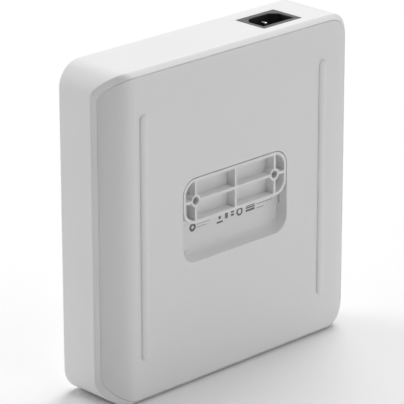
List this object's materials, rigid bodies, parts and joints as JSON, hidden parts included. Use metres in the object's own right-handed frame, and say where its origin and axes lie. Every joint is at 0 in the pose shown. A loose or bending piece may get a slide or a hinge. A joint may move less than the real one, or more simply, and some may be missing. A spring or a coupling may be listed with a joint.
{
  "type": "desktop network switch",
  "caption": "White desktop network switch with a mains inlet, network ports, foot strips and a wall bracket that slides out of a recess in its base.",
  "frame": {"origin": "centre of the bounding box at the port edge the switch stands on", "axes": "+X to the inlet end of the inlet edge, -Y out of the base with its bracket, +Y out of the top cover, +Z from the port edge to the inlet edge"},
  "size_m": [0.184, 0.0436, 0.192],
  "materials": {
    "shell_white": "fine satin polycarbonate",
    "panel_white": "fine satin polycarbonate",
    "foot_white": "matt white elastomer",
    "bracket_white": "satin",
    "label_print": "printed film",
    "inlet_grey": "satin dark grey",
    "zinc_steel": "zinc plated",
    "nickel_contact": "nickel plated",
    "jack_black": "matt",
    "board_green": "solder mask",
    "chip_black": "moulded",
    "heatsink_alu": "mill",
    "capacitor_sleeve": "shrink sleeve",
    "winding_tape": "polyester tape",
    "light_pipe": "clear",
    "button_grey": "satin",
    "insulator_sheet": "film",
    "fuse_ceramic": "cream",
    "wire_jacket": "wire insulation"
  },
  "bodies": {
    "chassis": {"top_cover": "shell_white", "base_cover": "panel_white", "foot_strip_left": "foot_white", "foot_strip_right": "foot_white", "info_label": "label_print", "inlet_housing": "inlet_grey", "inlet_pin_line": "nickel_contact", "inlet_pin_neutral": "nickel_contact", "inlet_pin_earth": "nickel_contact", "port_block_a": "jack_black", "port_block_b": "jack_black", "status_light_pipe": "light_pipe", "reset_switch": "chip_black", "main_board": "board_green", "power_board": "board_green", "switch_chip": "chip_black", "heatsink": "heatsink_alu", "magnetics_1": "chip_black", "magnetics_2": "chip_black", "magnetics_3": "chip_black", "magnetics_4": "chip_black", "bulk_capacitor_1": "capacitor_sleeve", "bulk_capacitor_2": "capacitor_sleeve", "transformer_core": "chip_black", "transformer_winding": "winding_tape", "choke": "winding_tape", "fuse": "fuse_ceramic", "output_connector": "fuse_ceramic", "input_connector": "fuse_ceramic", "power_harness": "wire_jacket", "insulator_sheet": "insulator_sheet", "heat_plate": "heatsink_alu", "board_screw_1": "zinc_steel", "board_screw_2": "zinc_steel", "board_screw_3": "zinc_steel", "board_screw_4": "zinc_steel", "case_screw_1": "zinc_steel", "case_screw_2": "zinc_steel", "case_screw_3": "zinc_steel", "case_screw_4": "zinc_steel"},
    "bracket": {"wall_bracket": "bracket_white"},
    "reset": {"reset_button": "button_grey"}
  },
  "joints": [
    {"name": "bracket_slide", "type": "slide", "parent": "chassis", "child": "bracket", "axis": [0, 0, -1], "range_m": [0, 0.0175]},
    {"name": "reset_press", "type": "slide", "parent": "chassis", "child": "reset", "axis": [0, 0, 1], "range_m": [0, 0.0005], "stiffness_N_per_m": 600}
  ]
}
